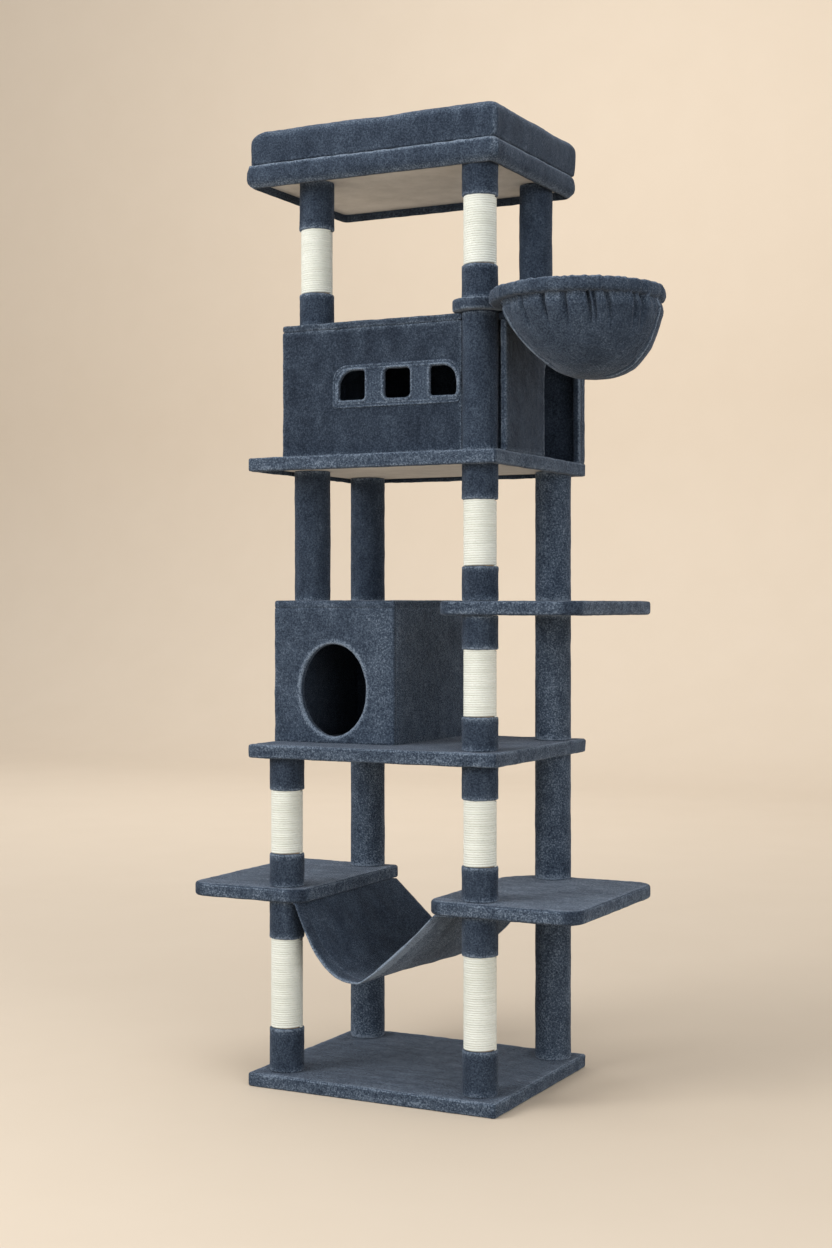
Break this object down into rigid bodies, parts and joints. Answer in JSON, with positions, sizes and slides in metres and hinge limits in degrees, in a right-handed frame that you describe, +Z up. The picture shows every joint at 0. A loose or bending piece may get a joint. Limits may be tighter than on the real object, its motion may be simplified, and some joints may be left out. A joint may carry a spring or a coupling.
{
  "type": "cat tree",
  "caption": "Tall plush and sisal cat tree with tiered decks, side steps, sling hammock, two houses, swivelling hanging basket and a padded top perch.",
  "frame": {"origin": "centre of the base's underside, on the floor", "axes": "+X right along the long front edge, +Y to the back, +Z up"},
  "size_m": [1.1117, 0.6378, 2.106],
  "materials": {
    "plush": "short dense plush pile",
    "sisal": "tightly wound off-white sisal rope",
    "underside_felt": "thin non-woven backing sheet",
    "zinc_steel": "zinc plated",
    "hoop_steel": "black painted wire",
    "tube_card": "wound card tube",
    "batten_wood": "raw softwood",
    "particle_board": "raw particle board"
  },
  "bodies": {
    "root": {"back_left_sleeve": "plush", "back_right_sleeve": "plush", "base_board": "particle_board", "base_bolt_washers": "zinc_steel", "base_bolts": "zinc_steel", "base_plush_cover": "plush", "base_underside_liner": "underside_felt", "deck_rim_battens": "batten_wood", "front_left_cuffs": "plush", "front_left_lower_sisal": "sisal", "front_left_upper_sisal": "sisal", "front_right_cuffs": "plush", "front_right_fifth_sleeve": "plush", "front_right_first_sisal": "sisal", "front_right_fourth_sisal": "sisal", "front_right_second_sisal": "sisal", "front_right_third_sisal": "sisal", "hammock_screws": "zinc_steel", "hammock_sling": "plush", "house_posts_sleeve": "plush", "left_step_board": "particle_board", "left_step_plush_cover": "plush", "lower_house_back": "plush", "lower_house_front": "plush", "lower_house_left": "plush", "lower_house_right": "plush", "lower_house_roof": "plush", "middle_deck_board": "particle_board", "middle_deck_plush_cover": "plush", "middle_deck_underside_liner": "underside_felt", "perch_board": "particle_board", "perch_bolster": "plush", "perch_cushion": "plush", "perch_front_sisal": "sisal", "perch_left_sisal": "sisal", "perch_padded_cover": "plush", "perch_posts_cuffs": "plush", "perch_right_sleeve": "plush", "perch_underside_liner": "underside_felt", "post_end_plugs": "batten_wood", "post_tubes": "tube_card", "right_step_board": "particle_board", "right_step_plush_cover": "plush", "step_underside_liners": "underside_felt", "threaded_studs": "zinc_steel", "upper_deck_board": "particle_board", "upper_deck_plush_cover": "plush", "upper_deck_underside_liner": "underside_felt", "upper_house_back": "plush", "upper_house_front": "plush", "upper_house_left": "plush", "upper_house_right": "plush", "upper_house_roof": "plush", "upper_house_window_surround": "plush", "upper_step_board": "particle_board", "upper_step_plush_cover": "plush"},
    "basket": {"basket_bracket": "plush", "basket_hoop": "hoop_steel", "basket_bowl": "plush"}
  },
  "joints": [
    {"name": "basket_swivel", "type": "hinge", "parent": "root", "child": "basket", "pos_m": [0.236, -0.187, 1.6865], "axis": [0, 0, 1], "range_deg": [-84, 12]}
  ]
}
